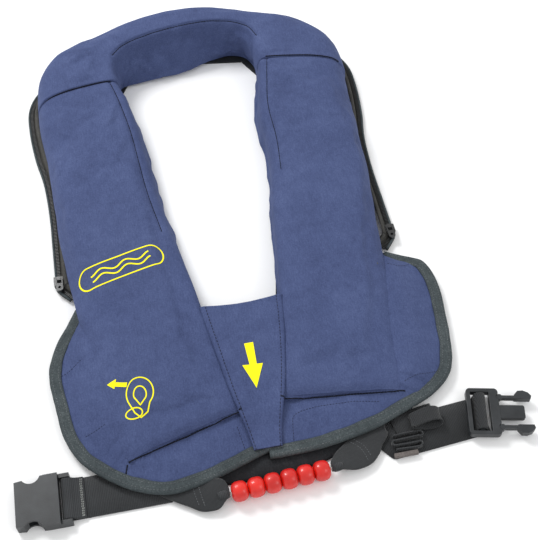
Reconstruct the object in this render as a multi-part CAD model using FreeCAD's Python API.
import FreeCAD, Part
import math
import os

# Inflatable life jacket, laid flat with its covers closed.
# Frame: +Y runs from the pull handle to the collar, +X runs to the right wing, +Z is up.
# The origin is on the flat underside of the back panel, on the jacket's centre line.
# Left and right are as seen from above with the collar at the far end. Millimetres.

V = FreeCAD.Vector
UP = V(0, 0, 1)
ALONG_X = V(1, 0, 0)
ALONG_Y = V(0, 1, 0)

# ---- driving dimensions -------------------------------------------------------------

BACK_THICK = 2.5            # back panel
COVER_WALL = 1.6            # padded cover fabric
STRAP_FLOOR = 3.1           # handle straps slide between the back panel and the flaps
STRAP_THICK = 2.0
FLAP_FLOOR = 6.0
FLAP_THICK = 2.5
BINDING_WALL = 0.8
BINDING_WIDTH = 12.0
LOBE_FLOOR_LOW = 9.6        # the lobes rest on the flaps below, and on the back panel above
LOBE_FLOOR_HIGH = 2.9

WEBBING_WIDTH = 40.0
WEBBING_THICK = 2.0
WEBBING_FLOOR = 0.2

BEAD_COUNT = 6
BEAD_RADIUS = 9.5
BEAD_PITCH = 15.6
BEAD_LENGTH = 15.0
BEAD_BORE = 1.6
BEAD_SHOULDER = 6.0         # radius where the barrel-shaped side meets the flat end
CORD_RADIUS = 1.5
HANDLE_CENTRE = V(4.2, -140.3, BEAD_RADIUS)
HANDLE_ANGLE = 3.6          # the bead row rises a little to the right
LOOP_RADIUS = 4.3           # folded end of each handle strap, round the cord
LOOP_LENGTH = 10.0
LOOP_GAP = 1.2              # between the last bead and the folded end
LOOP_FOOT_HALF = 2.5

GAS_RADIUS = 12.5
GAS_X = 138.0
GAS_Z = 19.6
INFLATOR_FRONT = 66.0
INFLATOR_BACK = 100.0
GAS_LENGTH = 104.0
LEVER_PIVOT = V(145.0, 58.0, GAS_Z)
LEVER_LENGTH = 32.0

ORAL_X = 82.0
ORAL_Z = 18.8
ORAL_TUBE_END = 103.0
ORAL_TUBE_START = -18.0
ORAL_RADIUS = 6.0
ORAL_WALL = 1.6

ZIP_EDGE = 183.0            # outer edge of the zip's straight stretch
ZIP_WIDTH = 9.0
ZIP_FLOOR = 3.0
ZIP_TAPE = 1.0
ZIP_TEETH_WIDTH = 4.0
ZIP_TEETH_TOP = 6.0
SLIDER_Y = 124.0
SLIDER_LENGTH = 11.0
PULL_LENGTH = 15.0          # from the pull's pin to the end of its tab

LEFT_BELT_Y = -118.0
LEFT_BELT_PIVOT = -170.0
FEMALE_BAR = V(-191.0, LEFT_BELT_Y, 4.6)
RIGHT_BELT_PIVOT = 170.0
RIGHT_BELT_Y = -112.0       # at the pivot
RIGHT_BELT_ANGLE = 5.0
MALE_CENTRE = V(206.0, -108.5, 8.2)
MALE_ANGLE = -12.0

# ---- helpers ------------------------------------------------------------------------


def block(x0, x1, y0, y1, z0, z1):
    return Part.makeBox(x1 - x0, y1 - y0, z1 - z0, V(x0, y0, z0))


def rod(start, direction, radius, length):
    return Part.makeCylinder(radius, length, start, direction)


def straight_wire(points):
    return Part.makePolygon(list(points) + [points[0]])


def plate(outline, z0, z1):
    """A flat plate with a straight-sided outline of (x, y) points."""
    wire = straight_wire([V(x, y, z0) for x, y in outline])
    return Part.Face(wire).extrude(V(0, 0, z1 - z0))


def smooth_edge(points, z):
    curve = Part.BSplineCurve()
    curve.interpolate([V(x, y, z) for x, y in points])
    return curve.toShape()


def beside(points, distance):
    """The same open line moved sideways, to its left for a positive distance."""
    moved = []
    last = len(points) - 1
    for i, (x, y) in enumerate(points):
        ax, ay = points[max(i - 1, 0)]
        bx, by = points[min(i + 1, last)]
        length = math.hypot(bx - ax, by - ay)
        moved.append((x - (by - ay) / length * distance, y + (bx - ax) / length * distance))
    return moved


def closed_by_lines(edge_points, rest, z0, z1):
    """A plate with one smooth edge, closed by straight lines through the other points."""
    edge = smooth_edge(edge_points, z0)
    corners = [edge_points[-1]] + list(rest) + [edge_points[0]]
    lines = []
    for (ax, ay), (bx, by) in zip(corners, corners[1:]):
        lines.append(Part.makeLine(V(ax, ay, z0), V(bx, by, z0)))
    return Part.Face(Part.Wire([edge] + lines)).extrude(V(0, 0, z1 - z0))


def ribbon(points, near, far, z0, z1, smooth=True):
    """A band between two lines that run beside the given one."""
    first = beside(points, near)
    second = beside(points, far)
    if not smooth:
        return plate(first + second[::-1], z0, z1)
    a = smooth_edge(first, z0)
    b = smooth_edge(second, z0)
    end = Part.makeLine(V(*first[-1], z0), V(*second[-1], z0))
    start = Part.makeLine(V(*second[0], z0), V(*first[0], z0))
    return Part.Face(Part.Wire([a, end, b, start])).extrude(V(0, 0, z1 - z0))


def loft(wires):
    return Part.makeLoft(wires, True, True)


def mirrored(shape):
    return shape.mirror(V(0, 0, 0), ALONG_X)


def mirrored_points(points):
    return [(-x, y) for x, y in points]


def placed(shape, origin, angle):
    """A shape made round its own origin, turned about Z and moved to its place."""
    copy = shape.copy()
    copy.rotate(V(0, 0, 0), UP, angle)
    copy.translate(origin)
    return copy


def fused(shapes):
    body = shapes[0]
    for shape in shapes[1:]:
        body = body.fuse(shape)
    return body.removeSplitter()


def save(name, shape):
    shape.exportStep("parts/" + name + ".step")
    box = shape.BoundBox
    print("%-26s %9.0f mm3 %d solid %s  x %.1f %.1f  y %.1f %.1f  z %.1f %.1f" % (
        name, shape.Volume, len(shape.Solids), shape.isValid(),
        box.XMin, box.XMax, box.YMin, box.YMax, box.ZMin, box.ZMax))


def save_pair(name, shape):
    save(name + "_right", shape)
    save(name + "_left", mirrored(shape))


# ---- padded covers and the bladder inside them --------------------------------------
# A station is a cross-section: inner point, outer point, floor height and top height.

LOBE_STATIONS = [
    ((19, -70), (141, -88), LOBE_FLOOR_LOW, 23),
    ((26, -28), (149, -34), LOBE_FLOOR_LOW, 29),
    ((38.5, 45), (160, 45), LOBE_FLOOR_LOW, 33),
    ((43, 70), (164, 70), LOBE_FLOOR_LOW, 34),
    ((48, 105), (168, 105), LOBE_FLOOR_HIGH, 35),
    ((66, 240), (176, 240), LOBE_FLOOR_HIGH, 38),
    ((79, 350), (182, 350), LOBE_FLOOR_HIGH, 46),
]
COLLAR_STATIONS = [
    ((80, 351), (182, 351), LOBE_FLOOR_HIGH, 46),
    ((82, 385), (177, 395), LOBE_FLOOR_HIGH, 50),
    ((78, 405), (158, 422), LOBE_FLOOR_HIGH, 53),
    ((66, 421), (114, 447), LOBE_FLOOR_HIGH, 55),
    ((35, 429), (50, 463), LOBE_FLOOR_HIGH, 56),
    ((0, 431), (0, 470), LOBE_FLOOR_HIGH, 56),
]
UNDERCUT_WIDTH = 14.0       # the zip runs below the outer edge of the covers
UNDERCUT_INNER = 6.0
EDGE_ROUND = 16.0
CROWN = 1.5
EYELET_RADIUS = 4.0         # each lanyard comes down through the cover and the flap


def section(station, wall):
    """Cross-section of a padded cover, with its edges taken off above and below."""
    (ix, iy), (ox, oy), floor, top = station
    width = math.hypot(ox - ix, oy - iy)
    across = V((ox - ix) / width, (oy - iy) / width, 0)
    low, high = floor + wall, top - wall
    near, far = wall, width - wall
    under = min(12.0, 0.35 * (high - low))
    over = min(9.0, 0.4 * (high - low))
    rounding = min(EDGE_ROUND, 0.3 * (far - near))
    undercut = min(UNDERCUT_WIDTH, 0.4 * (far - near))
    profile = [
        (near + UNDERCUT_INNER, low),
        (near, low + under),
        (near, high - over),
        (near + rounding, high - CROWN),
        ((near + far) / 2, high),
        (far - rounding, high - CROWN),
        (far, high - over),
        (far, low + under),
        (far - undercut, low),
    ]
    start = V(ix, iy, 0)
    return straight_wire([start + across * s + V(0, 0, z) for s, z in profile])


def shifted(station, dy):
    (ix, iy), (ox, oy), floor, top = station
    return (ix, iy + dy), (ox, oy + dy), floor, top


def flipped(station):
    (ix, iy), (ox, oy), floor, top = station
    return (-ix, iy), (-ox, oy), floor, top


def both_sides(stations):
    """The stations from the right side to the centre line, then on to the left side."""
    return stations + [flipped(s) for s in stations[-2::-1]]


def front_cover():
    outside = loft([section(s, 0) for s in LOBE_STATIONS])
    inner = list(LOBE_STATIONS)
    inner[0] = shifted(inner[0], COVER_WALL)
    inner[-1] = shifted(inner[-1], 1.0)
    cover = outside.cut(loft([section(s, COVER_WALL) for s in inner]))
    eyelet = rod(V(LANYARD_X, LANYARD_Y, LOBE_FLOOR_LOW - 1), UP, EYELET_RADIUS, COVER_WALL + 2)
    return cover.cut(eyelet)


def collar_cover():
    ring = both_sides(COLLAR_STATIONS)
    outside = loft([section(s, 0) for s in ring])
    inner = list(ring)
    inner[0] = shifted(inner[0], -1.0)
    inner[-1] = shifted(inner[-1], -1.0)
    return outside.cut(loft([section(s, COVER_WALL) for s in inner]))


CELL_STATIONS = [            # narrow beside the gas cylinder, then as wide as the covers
    ((50, 106), (126, 106), LOBE_FLOOR_HIGH, 35),
    ((62, 212), (129, 212), LOBE_FLOOR_HIGH, 37),
    ((65, 236), (175.5, 236), LOBE_FLOOR_HIGH, 38),
    LOBE_STATIONS[-1],
] + COLLAR_STATIONS[1:]
CELL_INSET_NEAR = 8.0
CELL_INSET_FAR = 17.0
CELL_GAP = 0.4
CELL_FLOOR_ROOM = 1.6       # between the cover's floor and the lower cell
CELL_TOP_ROOM = 9.0         # between the upper cell and the cover's top


def cell_section(station, low_share, high_share):
    (ix, iy), (ox, oy), floor, top = station
    width = math.hypot(ox - ix, oy - iy)
    across = V((ox - ix) / width, (oy - iy) / width, 0)
    base = floor + COVER_WALL + CELL_FLOOR_ROOM
    rise = top - CELL_TOP_ROOM - base
    near = min(CELL_INSET_NEAR, 0.22 * width)
    far = width - min(CELL_INSET_FAR, 0.42 * width)
    low = base + rise * low_share
    high = base + rise * high_share - CELL_GAP
    start = V(ix, iy, 0)
    corners = [(near, low), (near, high), (far, high), (far, low)]
    return straight_wire([start + across * s + V(0, 0, z) for s, z in corners])


def bladder_cell(low_share, high_share):
    ring = both_sides(CELL_STATIONS)
    return loft([cell_section(s, low_share, high_share) for s in ring])


# ---- flat panels --------------------------------------------------------------------

BACK_HALF_OUTLINE = [
    (0, -116), (70, -114), (140, -88), (168, -50), (172, 30), (160, 90), (164, 130),
    (168, 230), (172, 330), (170, 380), (146, 414), (90, 443), (0, 462),
]
NECK_HALF_OUTLINE = [(38, 52), (54, 130), (69, 240), (80, 350), (83, 388), (68, 416), (0, 425)]


def back_panel():
    right = BACK_HALF_OUTLINE
    left = mirrored_points(right[-2:0:-1])
    neck_right = NECK_HALF_OUTLINE
    neck_left = mirrored_points(neck_right[-2::-1])
    panel = plate(right + left, 0, BACK_THICK)
    panel = panel.cut(plate(neck_right + neck_left, -1, BACK_THICK + 1))
    for belt in (left_belt_sewn(), right_belt_sewn()):
        channel = belt.copy()
        channel.translate(V(0, 0, -WEBBING_FLOOR))
        panel = panel.cut(channel).cut(belt)
    return panel


# Outer edges of the bound panels, from the foot of the centre panel round to the zip.
EDGE_RIGHT = [
    (12, -117), (52, -116), (102, -107), (150, -90), (184, -68), (199, -42),
    (206, 6), (208, 48), (200, 74), (184, 86), (168, 94),
]
EDGE_LEFT = [
    (-11, -114), (-46, -124), (-92, -132), (-140, -118), (-174, -88), (-190, -50),
    (-196, 6), (-191, 40), (-178, 66), (-167, 86),
]
PANEL_INNER_RIGHT = [(167, 73), (43, 73), (27, -25)]
PANEL_INNER_LEFT = [(-165, 73), (-43, 73), (-27, -25)]
PANEL_SEAM_TOP = 164.0      # the wing is sewn to the lower flap along this line
PANEL_SEAM_BOTTOM = 141.0


def lower_panels(edge, inner, side):
    """The lower flap and the wing outside the seam, as two pieces."""
    turn = 1 if side > 0 else -1
    outer = beside(edge, turn * BINDING_WALL)
    whole = closed_by_lines(outer, inner, FLAP_FLOOR, FLAP_FLOOR + FLAP_THICK)
    eyelet = rod(V(side * LANYARD_X, LANYARD_Y, FLAP_FLOOR - 1), UP, EYELET_RADIUS,
                 FLAP_THICK + 2)
    whole = whole.cut(eyelet)
    cutter = plate([
        (side * PANEL_SEAM_TOP, 120), (side * PANEL_SEAM_BOTTOM, -160),
        (side * 260, -160), (side * 260, 120),
    ], FLAP_FLOOR - 1, FLAP_FLOOR + FLAP_THICK + 1)
    return whole.cut(cutter), whole.common(cutter)


def edge_binding(edge, side):
    """Folded tape round the edge of the flap and the wing."""
    turn = 1 if side > 0 else -1
    low = FLAP_FLOOR - BINDING_WALL
    high = FLAP_FLOOR + FLAP_THICK + BINDING_WALL
    tape = ribbon(edge, 0, turn * BINDING_WIDTH, low, high)
    fold = ribbon(edge, turn * BINDING_WALL, turn * (BINDING_WIDTH + 2),
                  FLAP_FLOOR, FLAP_FLOOR + FLAP_THICK)
    return tape.cut(fold)


PANEL_STATIONS = [           # y, half width, underside of the centre panel
    (47, 38.0, 29.0), (-28, 25.3, 24.5), (-70, 18.3, 18.0), (-88, 15.4, 11.5), (-113, 12.0, 9.8),
]
CENTRE_THICK = 3.0


def centre_panel():
    wires = []
    for y, half, z in PANEL_STATIONS:
        corners = [(-half, z), (-half, z + CENTRE_THICK), (half, z + CENTRE_THICK), (half, z)]
        wires.append(straight_wire([V(x, y, h) for x, h in corners]))
    return loft(wires)


# ---- zips ---------------------------------------------------------------------------

ZIP_LINE = [
    (170, 98), (180, 110), (ZIP_EDGE, 116), (ZIP_EDGE, 215), (186, 260), (193, 300),
    (197, 345), (195, 380), (180, 408), (150, 428), (118, 448), (84, 462), (48, 474), (2, 478),
]
SLIDER_WALL = 1.1
SLIDER_PLAY = 0.3
SLIDER_CROWN = 3.4          # height of the eye that holds the pull
PULL_PIN_Y = SLIDER_Y + 1.2
PULL_PIN_RADIUS = 0.9
PULL_HALF = 3.6
EAR_WIDTH = 1.2
TAB_START = 6.0             # from the pin to where the two ears join


def zip_tape():
    return ribbon(ZIP_LINE, 0, ZIP_WIDTH, ZIP_FLOOR, ZIP_FLOOR + ZIP_TAPE, smooth=False)


def zip_teeth():
    near = (ZIP_WIDTH - ZIP_TEETH_WIDTH) / 2
    return ribbon(ZIP_LINE, near, near + ZIP_TEETH_WIDTH,
                  ZIP_FLOOR + ZIP_TAPE, ZIP_TEETH_TOP, smooth=False)


def zip_slider():
    """C-shaped slider that wraps the tape's edge and runs over the teeth."""
    x1 = ZIP_EDGE + SLIDER_PLAY + SLIDER_WALL
    x0 = ZIP_EDGE - ZIP_WIDTH + 0.5
    y0 = SLIDER_Y - SLIDER_LENGTH / 2
    y1 = SLIDER_Y + SLIDER_LENGTH / 2
    z0 = ZIP_FLOOR - SLIDER_PLAY - SLIDER_WALL
    z1 = ZIP_TEETH_TOP + SLIDER_PLAY + SLIDER_WALL
    body = block(x0, x1, y0, y1, z0, z1)
    body = body.makeFillet(0.8, [e for e in body.Edges if abs(e.tangentAt(0).z) > 0.9])
    slot = block(x0 - 1, ZIP_EDGE + SLIDER_PLAY, y0 - 1, y1 + 1,
                 ZIP_FLOOR - SLIDER_PLAY, ZIP_FLOOR + ZIP_TAPE + SLIDER_PLAY)
    middle = ZIP_EDGE - ZIP_WIDTH / 2
    half = ZIP_TEETH_WIDTH / 2 + SLIDER_PLAY
    channel = block(middle - half, middle + half, y0 - 1, y1 + 1,
                    ZIP_FLOOR, ZIP_TEETH_TOP + SLIDER_PLAY)
    crown = block(middle - 2.0, middle + 2.0, PULL_PIN_Y - 2.4, PULL_PIN_Y + 2.2,
                  z1, z1 + SLIDER_CROWN)
    hole = rod(V(middle - 3, PULL_PIN_Y, z1 + SLIDER_CROWN / 2), ALONG_X,
               PULL_PIN_RADIUS + 0.1, 6)
    return fused([body, crown]).cut(slot).cut(channel).cut(hole)


def zip_pull():
    """Pull tab with two ears and a pin through the slider's crown."""
    middle = ZIP_EDGE - ZIP_WIDTH / 2
    z = ZIP_TEETH_TOP + SLIDER_PLAY + SLIDER_WALL + SLIDER_CROWN / 2
    low = z - PULL_PIN_RADIUS
    high = z + PULL_PIN_RADIUS
    y = PULL_PIN_Y
    parts = [rod(V(middle - PULL_HALF, y, z), ALONG_X, PULL_PIN_RADIUS, 2 * PULL_HALF)]
    for x in (middle - PULL_HALF, middle + PULL_HALF - EAR_WIDTH):
        parts.append(block(x, x + EAR_WIDTH, y - TAB_START - 2, y + PULL_PIN_RADIUS, low, high))
    tab = block(middle - PULL_HALF, middle + PULL_HALF, y - PULL_LENGTH, y - TAB_START, low, high)
    tab = tab.makeFillet(2.4, [e for e in tab.Edges
                               if abs(e.tangentAt(0).z) > 0.9
                               and e.CenterOfMass.y < y - TAB_START - 2])
    hole = rod(V(middle, y - PULL_LENGTH + 4.0, low - 1), UP, 1.5, 4)
    parts.append(tab.cut(hole))
    return fused(parts)


# ---- inflators, cylinders, oral tubes and whistle (inside the covers) ----------------

PIN_RADIUS = 1.5
PIN_TIP = 91.6
PIN_END = 62.2             # the lever's heel pushes here
PIN_POINT = 2.4
PIN_FRONT = 76.0
PIN_HEAD = 3.4
SPRING_SEAT = 90.0
LEVER_THICK = 4.0
LEVER_HALF = 3.6
LEVER_BOSS = 4.6
PIVOT_RADIUS = 1.9
PIVOT_PLAY = 0.05
EYE_X = LEVER_PIVOT.x - LEVER_LENGTH + 4
EYE_RADIUS = 1.5
HEAD_HALF = 12.0            # half width of the firing head
EAR_RADIUS = 5.0
EAR_THICK = 2.5
EAR_GAP = 2.4               # from the lever's middle plane to either ear
NECK_RADIUS = 6.5
NECK_DEPTH = 4.0
MANIFOLD_RADIUS = 4.0
MANIFOLD_X = GAS_X - 21
MANIFOLD_Y = 88.0
MANIFOLD_Z = GAS_Z - 2
LANYARD_RADIUS = 1.0
LANYARD_X = 108.0
LANYARD_Y = -38.0


def inflator_body():
    """Firing head with a bore for the pierce pin and a threaded seat for the cylinder."""
    z0, z1 = GAS_Z - 8.0, GAS_Z + 9.4
    px, py = LEVER_PIVOT.x, LEVER_PIVOT.y
    body = block(GAS_X - HEAD_HALF, GAS_X + HEAD_HALF, INFLATOR_FRONT, INFLATOR_BACK, z0, z1)
    body = body.makeFillet(3.0, [e for e in body.Edges if abs(e.tangentAt(0).y) > 0.9])
    pieces = [body, rod(V(px, py, GAS_Z - 4), UP, PIVOT_RADIUS, 8)]
    for low in (GAS_Z + EAR_GAP, GAS_Z - EAR_GAP - EAR_THICK):
        pieces.append(rod(V(px, py, low), UP, EAR_RADIUS, EAR_THICK))
        pieces.append(block(px - 4, px + 4, py, INFLATOR_FRONT + 1, low, low + EAR_THICK))
    body = fused(pieces)
    bore = rod(V(GAS_X, INFLATOR_FRONT - 1, GAS_Z), ALONG_Y, PIN_RADIUS + 0.05, 40)
    pocket = rod(V(GAS_X, PIN_FRONT - 0.5, GAS_Z), ALONG_Y, PIN_HEAD + 0.1,
                 SPRING_SEAT - PIN_FRONT + 0.5)
    neck = rod(V(GAS_X, INFLATOR_BACK - NECK_DEPTH, GAS_Z), ALONG_Y, NECK_RADIUS + 0.1,
               NECK_DEPTH + 1)
    corner = V(MANIFOLD_X, MANIFOLD_Y, MANIFOLD_Z)
    manifold = rod(corner, ALONG_X, MANIFOLD_RADIUS, 10)
    manifold_end = rod(corner, ALONG_Y, MANIFOLD_RADIUS, 17.2)
    elbow = Part.makeSphere(MANIFOLD_RADIUS, corner)
    return fused([body.cut(bore).cut(pocket).cut(neck), manifold, elbow, manifold_end])


def gas_cylinder():
    """Steel gas cylinder with a threaded neck, a shoulder and a rounded end."""
    neck_start = INFLATOR_BACK - NECK_DEPTH + 0.1
    shoulder = INFLATOR_BACK + 5
    straight = INFLATOR_BACK + 14
    neck = rod(V(GAS_X, neck_start, GAS_Z), ALONG_Y, NECK_RADIUS, shoulder - neck_start)
    cone = Part.makeCone(NECK_RADIUS, GAS_RADIUS, straight - shoulder,
                         V(GAS_X, shoulder, GAS_Z), ALONG_Y)
    body = rod(V(GAS_X, straight, GAS_Z), ALONG_Y, GAS_RADIUS,
               INFLATOR_BACK + GAS_LENGTH - straight)
    ends = [e for e in body.Edges if e.CenterOfMass.y > straight + 50 and e.Closed]
    body = body.makeFillet(8.0, [e for e in ends if isinstance(e.Curve, Part.Circle)])
    return fused([neck, cone, body])


def firing_lever():
    """Lever that swings on the inflator's pivot when the handle is pulled."""
    x, y, z = LEVER_PIVOT.x, LEVER_PIVOT.y, GAS_Z - LEVER_THICK / 2
    boss = rod(V(x, y, z), UP, LEVER_BOSS, LEVER_THICK)
    arm = block(EYE_X, x, y - LEVER_HALF, y + LEVER_HALF, z, z + LEVER_THICK)
    tip = rod(V(EYE_X, y, z), UP, LEVER_HALF, LEVER_THICK)
    bore = rod(V(x, y, z - 1), UP, PIVOT_RADIUS + PIVOT_PLAY, LEVER_THICK + 2)
    eye = rod(V(EYE_X, y, z - 1), UP, EYE_RADIUS, LEVER_THICK + 2)
    return fused([boss, arm, tip]).cut(bore).cut(eye)


def pierce_pin():
    shoulder = PIN_TIP - PIN_POINT
    shaft = rod(V(GAS_X, PIN_END, GAS_Z), ALONG_Y, PIN_RADIUS, shoulder - PIN_END)
    head = rod(V(GAS_X, PIN_FRONT, GAS_Z), ALONG_Y, PIN_HEAD, 2.5)
    point = Part.makeCone(PIN_RADIUS, 0.2, PIN_POINT, V(GAS_X, shoulder, GAS_Z), ALONG_Y)
    return fused([shaft, head, point])


def coil(start, radius, wire, length, turns):
    """A compression spring along Y, with the given wire radius."""
    helix = Part.makeHelix(length / turns, length, radius)
    profile = Part.Wire(Part.makeCircle(wire, V(radius, 0, 0), V(0, 1, 0)))
    spring = Part.Wire(helix).makePipeShell([profile], True, True)
    spring.rotate(V(0, 0, 0), ALONG_X, -90)
    spring.translate(start)
    return spring


def pierce_spring():
    free = SPRING_SEAT - (PIN_FRONT + 2.5)
    return coil(V(GAS_X, PIN_FRONT + 2.5 + 0.45, GAS_Z), 2.45, 0.4, free - 0.9, 5)


def lanyard():
    """Cord from the lever's eye down through the eyelets to the handle strap."""
    top = V(EYE_X, LEVER_PIVOT.y - LEVER_HALF - LANYARD_RADIUS, GAS_Z)
    bend = V(LANYARD_X, LANYARD_Y, GAS_Z - 5)
    foot = V(LANYARD_X, LANYARD_Y, STRAP_FLOOR + STRAP_THICK + 0.1)
    run = bend - top
    return fused([
        rod(top, run, LANYARD_RADIUS, run.Length),
        Part.makeSphere(LANYARD_RADIUS, bend),
        rod(bend, V(0, 0, -1), LANYARD_RADIUS, bend.z - foot.z),
    ])


VALVE_FRONT = -40.0
MOUTH_RADIUS = 7.2
STEM_RADIUS = 1.5
SPRING_FRONT = VALVE_FRONT + 14.0
SPRING_LENGTH = 14.0
SPRING_WIRE = 0.35


def oral_tube():
    length = ORAL_TUBE_END - ORAL_TUBE_START
    outer = rod(V(ORAL_X, ORAL_TUBE_START, ORAL_Z), ALONG_Y, ORAL_RADIUS, length)
    inner = rod(V(ORAL_X, ORAL_TUBE_START - 1, ORAL_Z), ALONG_Y, ORAL_RADIUS - ORAL_WALL, length + 2)
    return outer.cut(inner)


def oral_valve_body():
    """Mouthpiece pushed into the tube, with a seat for the sprung poppet."""
    mouth = rod(V(ORAL_X, VALVE_FRONT, ORAL_Z), ALONG_Y, MOUTH_RADIUS,
                ORAL_TUBE_START - VALVE_FRONT)
    spigot = rod(V(ORAL_X, ORAL_TUBE_START, ORAL_Z), ALONG_Y, ORAL_RADIUS - ORAL_WALL, 12)
    bore = rod(V(ORAL_X, VALVE_FRONT - 1, ORAL_Z), ALONG_Y, STEM_RADIUS + 0.05, 40)
    cup = rod(V(ORAL_X, VALVE_FRONT - 1, ORAL_Z), ALONG_Y, 5.5, 9)
    spring_room = rod(V(ORAL_X, VALVE_FRONT + 12, ORAL_Z), ALONG_Y, 3.4, 17.2)
    return fused([mouth, spigot]).cut(bore).cut(cup).cut(spring_room)


def oral_poppet():
    stem = rod(V(ORAL_X, VALVE_FRONT + 2.0, ORAL_Z), ALONG_Y, STEM_RADIUS, 22)
    button = rod(V(ORAL_X, VALVE_FRONT + 1.0, ORAL_Z), ALONG_Y, 4.0, 2.5)
    seat = rod(V(ORAL_X, VALVE_FRONT + 12.2, ORAL_Z), ALONG_Y, 3.2, 1.8)
    return fused([stem, button, seat])


def oral_spring():
    start = V(ORAL_X, SPRING_FRONT + SPRING_WIRE + 0.1, ORAL_Z)
    return coil(start, 2.4, SPRING_WIRE, SPRING_LENGTH, 6)


WHISTLE_X = 54.0
WHISTLE_HALF = 8.0
WHISTLE_WALL = 2.5
WHISTLE_CORD = 0.9          # radius


def whistle():
    """Flat whistle with a mouthpiece, a sound slot and a ring for its cord."""
    x = WHISTLE_X
    body = block(x - WHISTLE_HALF, x + WHISTLE_HALF, -44, -8, 12.5, 22.5)
    body = body.makeFillet(2.5, [e for e in body.Edges if abs(e.tangentAt(0).y) > 0.9])
    inside = WHISTLE_HALF - WHISTLE_WALL
    slot = block(x - inside, x + inside, -22, -16, 19.0, 24)
    chamber = block(x - inside, x + inside, -42, -18, 15.0, 20.0)
    mouth = block(x - 4, x + 4, -50, -40, 16.0, 19.0)
    ring = rod(V(x, -5.5, 15.5), UP, 4.0, 4.0).cut(rod(V(x, -4.5, 15), UP, 1.8, 5))
    return fused([body, ring]).cut(slot).cut(chamber).cut(mouth)


def whistle_cord():
    """Cord from the whistle's ring to the oral tube, in three straight runs."""
    points = [V(WHISTLE_X, -1.4, 17.5), V(WHISTLE_X, 8, 17.5), V(66, 18, 19),
              V(ORAL_X - ORAL_RADIUS - 1.2, 20, ORAL_Z)]
    pieces = []
    for a, b in zip(points, points[1:]):
        pieces.append(rod(a, b - a, WHISTLE_CORD, (b - a).Length))
        pieces.append(Part.makeSphere(WHISTLE_CORD, b))
    return fused(pieces)


# ---- pull handle --------------------------------------------------------------------

STRAP_RIGHT = [
    (112, -28), (92, -28), (92, -96), (62, -122), (56, -128), (55, -139), (64, -142),
    (90, -137), (103, -126), (112, -112),
]
STRAP_LEFT = [
    (-118, -28), (-98, -28), (-98, -104), (-62, -122), (-47, -128), (-48, -150), (-56, -156),
    (-70, -152), (-98, -137), (-118, -122),
]


ROW_HALF = BEAD_COUNT / 2 * BEAD_PITCH + LOOP_GAP   # from the row's middle to a folded end


def handle_axis():
    angle = math.radians(HANDLE_ANGLE)
    return V(math.cos(angle), math.sin(angle), 0)


def handle_strap(outline, side):
    """Webbing strap whose end is folded round the handle cord."""
    flat = plate(outline, STRAP_FLOOR, STRAP_FLOOR + STRAP_THICK)
    axis = handle_axis() * side
    start = HANDLE_CENTRE + axis * ROW_HALF
    fold = rod(start, axis, LOOP_RADIUS, LOOP_LENGTH)
    across = V(-axis.y, axis.x, 0)
    end = start + axis * LOOP_LENGTH
    half = across * LOOP_FOOT_HALF
    corners = [start + half, start - half, end - half, end + half]
    foot = plate([(c.x, c.y) for c in corners], STRAP_FLOOR + 0.5, HANDLE_CENTRE.z)
    bore = rod(start - axis, axis, CORD_RADIUS, LOOP_LENGTH + 2)
    return fused([flat, fold, foot]).cut(bore)


def handle_cord():
    half = ROW_HALF + LOOP_LENGTH
    axis = handle_axis()
    return rod(HANDLE_CENTRE - axis * half, axis, CORD_RADIUS, 2 * half)


def bead(index):
    """Barrel-shaped bead with a bore for the cord."""
    half = BEAD_LENGTH / 2
    flat = BEAD_SHOULDER
    mouth = Part.makeLine(V(-half, BEAD_BORE, 0), V(-half, flat, 0))
    rise = BEAD_RADIUS - flat
    bend = (half * half + rise * rise) / (2 * rise)
    shoulder = BEAD_RADIUS - bend + math.sqrt(bend * bend - half * half / 4)
    crown = V(0, BEAD_RADIUS, 0)
    rising = Part.Arc(V(-half, flat, 0), V(-half / 2, shoulder, 0), crown).toShape()
    falling = Part.Arc(crown, V(half / 2, shoulder, 0), V(half, flat, 0)).toShape()
    far = Part.makeLine(V(half, flat, 0), V(half, BEAD_BORE, 0))
    bore = Part.makeLine(V(half, BEAD_BORE, 0), V(-half, BEAD_BORE, 0))
    face = Part.Face(Part.Wire([mouth, rising, falling, far, bore]))
    body = face.revolve(V(0, 0, 0), ALONG_X, 360)
    offset = (index - (BEAD_COUNT - 1) / 2) * BEAD_PITCH
    return placed(body, HANDLE_CENTRE + handle_axis() * offset, HANDLE_ANGLE)


# ---- belt ---------------------------------------------------------------------------

BUCKLE_INNER = WEBBING_WIDTH / 2 + 0.5
BUCKLE_HALF = 24.5
BAR_RADIUS = 2.3
SHELL_HALF_MOUTH = 21.5
SHELL_START = 5.6           # from the bar to the shell
SHELL_END = 45.0
SHELL_TAPER = 17.0          # from the bar to where the shell starts to narrow
SHELL_WALL = 2.6
SHELL_LOW = -4.3
SHELL_HIGH = 8.7
WINDOW_RADIUS = 9.0
LADDER_HALF_THICK = 3.5
LADDER_SLOTS = ((-9.0, -2.5), (2.5, 9.0))
MALE_BAR_HALF = 2.6
TONGUE_END = 42.0
TONGUE_HALF = 7.0
ARM_PIVOT_U = 19.0
ARM_PIVOT_V = 16.0
ARM_HALF_THICK = 2.8
CATCH_HALF_THICK = 3.6      # the bulb at each arm's tip is thicker than the arm
ARM_ROOT_RADIUS = 2.9


def left_belt_sewn():
    low = WEBBING_FLOOR
    y0 = LEFT_BELT_Y - WEBBING_WIDTH / 2
    return block(LEFT_BELT_PIVOT + 0.3, -96, y0, y0 + WEBBING_WIDTH, low, low + WEBBING_THICK)


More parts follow.
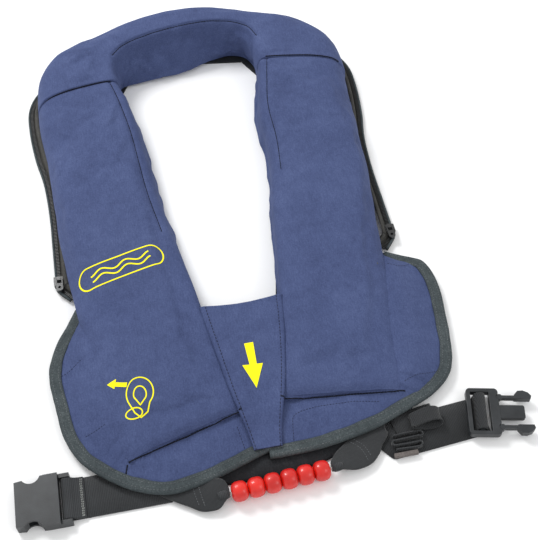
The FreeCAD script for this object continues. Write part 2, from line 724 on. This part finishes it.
def left_belt_end():
    """Webbing from the fold line to the buckle bar, looped round the bar and sewn back."""
    low = WEBBING_FLOOR
    y0 = LEFT_BELT_Y - WEBBING_WIDTH / 2
    y1 = y0 + WEBBING_WIDTH
    ring_outer = FEMALE_BAR.z - low
    start = V(FEMALE_BAR.x, y0, FEMALE_BAR.z)
    run = block(FEMALE_BAR.x, LEFT_BELT_PIVOT - 0.3, y0, y1, low, low + WEBBING_THICK)
    back = block(FEMALE_BAR.x + 2, LEFT_BELT_PIVOT - 4, y0, y1,
                 low + WEBBING_THICK - 0.1, low + 2 * WEBBING_THICK)
    ring = rod(start, ALONG_Y, ring_outer, WEBBING_WIDTH)
    hole = rod(start - ALONG_Y, ALONG_Y, BAR_RADIUS + 0.05, WEBBING_WIDTH + 2)
    return fused([run, back, ring]).cut(hole)


def female_buckle():
    """Socket half: a hollow shell with side windows, and a bar for the webbing."""
    half = SHELL_HALF_MOUTH
    shell = plate([(-SHELL_END, -half), (-SHELL_END, half), (-SHELL_TAPER, BUCKLE_HALF),
                   (-SHELL_START, BUCKLE_HALF), (-SHELL_START, -BUCKLE_HALF),
                   (-SHELL_TAPER, -BUCKLE_HALF)], SHELL_LOW, SHELL_HIGH)
    inside = half - SHELL_WALL
    cavity = block(-SHELL_END - 1, -SHELL_START - 4, -inside, inside,
                   SHELL_LOW + SHELL_WALL, SHELL_HIGH - SHELL_WALL)
    windows = []
    lugs = []
    for side in (-1, 1):
        windows.append(rod(V(-30, side * 27.0, SHELL_LOW - 1), UP, WINDOW_RADIUS, 15))
        y0 = BUCKLE_INNER if side > 0 else -BUCKLE_HALF
        lugs.append(block(-SHELL_START - 1, 4.5, y0, y0 + BUCKLE_HALF - BUCKLE_INNER,
                          SHELL_LOW, 4.5))
    bar = rod(V(0, -BUCKLE_INNER - 1, 0), ALONG_Y, BAR_RADIUS, 2 * BUCKLE_INNER + 2)
    body = shell.cut(cavity)
    for window in windows:
        body = body.cut(window)
    body = fused([body, bar] + lugs)
    body.translate(FEMALE_BAR)
    return body


def right_belt_sewn():
    length = RIGHT_BELT_PIVOT - 98
    half = WEBBING_WIDTH / 2
    low = WEBBING_FLOOR
    run = block(-length, -0.3, -half, half, low, low + WEBBING_THICK)
    return placed(run, V(RIGHT_BELT_PIVOT, RIGHT_BELT_Y, 0), RIGHT_BELT_ANGLE)


def right_belt_end():
    """Webbing from the fold line to the ladder bar, wrapped over the bar."""
    half = WEBBING_WIDTH / 2
    low = WEBBING_FLOOR
    reach = MALE_CENTRE.x - RIGHT_BELT_PIVOT + 6
    run = block(0.3, reach, -half, half, low, low + WEBBING_THICK)
    run = placed(run, V(RIGHT_BELT_PIVOT, RIGHT_BELT_Y, 0), RIGHT_BELT_ANGLE)
    half = half - 1.0
    foot = low + WEBBING_THICK - MALE_CENTRE.z - 0.1
    wrap = block(-5.2, 5.2, -half, half, foot, 5.8)
    wrap = wrap.makeFillet(2.2, [e for e in wrap.Edges
                                 if abs(e.tangentAt(0).y) > 0.9 and e.CenterOfMass.z > 0])
    inside = block(-3.1, 3.1, -half - 1, half + 1, foot - 1, 3.7)
    return fused([run, placed(wrap.cut(inside), MALE_CENTRE, MALE_ANGLE)])


def male_buckle():
    """Plug half: a ladder frame with three bars, a shoulder and a centre tongue."""
    thick = LADDER_HALF_THICK
    bar = MALE_BAR_HALF
    ladder = block(-13, 18, -BUCKLE_HALF, BUCKLE_HALF, -thick, thick)
    ladder = ladder.makeFillet(4.0, [e for e in ladder.Edges if abs(e.tangentAt(0).z) > 0.9])
    for near, far in LADDER_SLOTS:
        ladder = ladder.cut(block(near, far, -BUCKLE_INNER, BUCKLE_INNER, -5, 5))
    for low, high in ((-5, -bar), (bar, 5)):
        ladder = ladder.cut(block(-3, 3, -BUCKLE_INNER, BUCKLE_INNER, low, high))
    tongue = block(17, TONGUE_END, -TONGUE_HALF, TONGUE_HALF, -bar, bar)
    tongue = tongue.makeFillet(2.0, [e for e in tongue.Edges
                                     if abs(e.tangentAt(0).z) > 0.9 and e.CenterOfMass.x > 30])
    body = fused([ladder, tongue])
    for side in (-1, 1):
        root = rod(V(ARM_PIVOT_U, side * ARM_PIVOT_V, -5), UP, ARM_ROOT_RADIUS + 0.3, 10)
        body = body.cut(root)
    return placed(body, MALE_CENTRE, MALE_ANGLE)


def buckle_arm(side):
    """Springy side arm with a bulb at its tip and a catch on its outer side."""
    u0 = ARM_PIVOT_U
    v = ARM_PIVOT_V
    thick = ARM_HALF_THICK
    root = rod(V(u0, v, -thick), UP, ARM_ROOT_RADIUS, 2 * thick)
    arm = block(u0, u0 + 26, v - 1.8, v + 1.4, -thick, thick)
    catch = plate([(u0 + 14, v - 1.8), (u0 + 14.5, v + 2), (u0 + 18, v + 6.2), (u0 + 23, v + 6.6),
                   (u0 + 28, v + 4.6), (u0 + 31, v + 1), (u0 + 30, v - 2.4), (u0 + 16, v - 2.4)],
                  -CATCH_HALF_THICK, CATCH_HALF_THICK)
    body = fused([root, arm, catch])
    if side < 0:
        body = body.mirror(V(0, 0, 0), ALONG_Y)
    return placed(body, MALE_CENTRE, MALE_ANGLE)


SPARE_FLOOR = WEBBING_FLOOR + WEBBING_THICK + 0.2
SPARE_LAYERS = 3
LAYER_THICK = 1.6
LAYER_PITCH = 1.9
LOOP_ACROSS = 15.0          # half width and half height of the open loop, and its wall
LOOP_HALF_RISE = 7.0
LOOP_WALL = 1.8


def belt_tail():
    """Spare webbing folded into layers on top of the belt."""
    layers = []
    for step in range(SPARE_LAYERS):
        z = SPARE_FLOOR + step * LAYER_PITCH
        layers.append(block(114 + step, 146 - 2 * step, -132 + step, -113, z, z + LAYER_THICK))
    top = SPARE_FLOOR + (SPARE_LAYERS - 1) * LAYER_PITCH + LAYER_THICK
    fold = block(114, 116.5, -132, -113, SPARE_FLOOR, top)
    return fused(layers + [fold])


def belt_loop():
    """Loop of webbing that stands open beside the folded tail."""
    outer = Part.Ellipse(V(0, 0, 0), LOOP_ACROSS, LOOP_HALF_RISE).toShape()
    inner = Part.Ellipse(V(0, 0, 0), LOOP_ACROSS - LOOP_WALL, LOOP_HALF_RISE - LOOP_WALL).toShape()
    ring = Part.Face(Part.Wire(outer)).cut(Part.Face(Part.Wire(inner)))
    band = ring.extrude(V(0, 0, 15))
    band.rotate(V(0, 0, 0), ALONG_X, 90)
    band.translate(V(152, -97, SPARE_FLOOR + LOOP_HALF_RISE))
    return band


def belt_keeper():
    bar = block(114, 137, -137, -132.4, SPARE_FLOOR, SPARE_FLOOR + 4.0)
    return bar.makeFillet(1.2, [e for e in bar.Edges if abs(e.tangentAt(0).x) > 0.9])


# ---- write every sub-part -----------------------------------------------------------

os.makedirs("parts", exist_ok=True)

save("back_panel", back_panel())
save_pair("front_cover", front_cover())
save("collar_cover", collar_cover())
save("bladder_lower_cell", bladder_cell(0.0, 0.5))
save("bladder_upper_cell", bladder_cell(0.5, 1.0))

flap_right, wing_right = lower_panels(EDGE_RIGHT, PANEL_INNER_RIGHT, 1)
flap_left, wing_left = lower_panels(EDGE_LEFT, PANEL_INNER_LEFT, -1)
save("lower_flap_right", flap_right)
save("lower_flap_left", flap_left)
save("side_wing_right", wing_right)
save("side_wing_left", wing_left)
save("edge_bindings", Part.makeCompound([edge_binding(EDGE_RIGHT, 1), edge_binding(EDGE_LEFT, -1)]))
save("centre_panel", centre_panel())

save("zip_tapes", Part.makeCompound([zip_tape(), mirrored(zip_tape())]))
save("zip_teeth", Part.makeCompound([zip_teeth(), mirrored(zip_teeth())]))
save_pair("zip_slider", zip_slider())
save_pair("zip_pull", zip_pull())

save_pair("inflator_body", inflator_body())
save_pair("gas_cylinder", gas_cylinder())
save_pair("firing_lever", firing_lever())
save_pair("pierce_pin", pierce_pin())
save_pair("pierce_spring", pierce_spring())
save_pair("lanyard", lanyard())
save_pair("oral_tube", oral_tube())
save_pair("oral_valve_body", oral_valve_body())
save_pair("oral_poppet", oral_poppet())
save_pair("oral_spring", oral_spring())
save("whistle", whistle())
save("whistle_cord", whistle_cord())

save("handle_strap_right", handle_strap(STRAP_RIGHT, 1))
save("handle_strap_left", handle_strap(STRAP_LEFT, -1))
save("handle_cord", handle_cord())
for number in range(BEAD_COUNT):
    save("bead_%d" % (number + 1), bead(number))

save("belt_left_sewn", left_belt_sewn())
save("belt_left_end", left_belt_end())
save("female_buckle", female_buckle())
save("belt_right_sewn", right_belt_sewn())
save("belt_right_end", right_belt_end())
save("male_buckle", male_buckle())
save("buckle_arm_far", buckle_arm(1))
save("buckle_arm_near", buckle_arm(-1))
save("belt_tail", belt_tail())
save("belt_loop", belt_loop())
save("belt_keeper", belt_keeper())
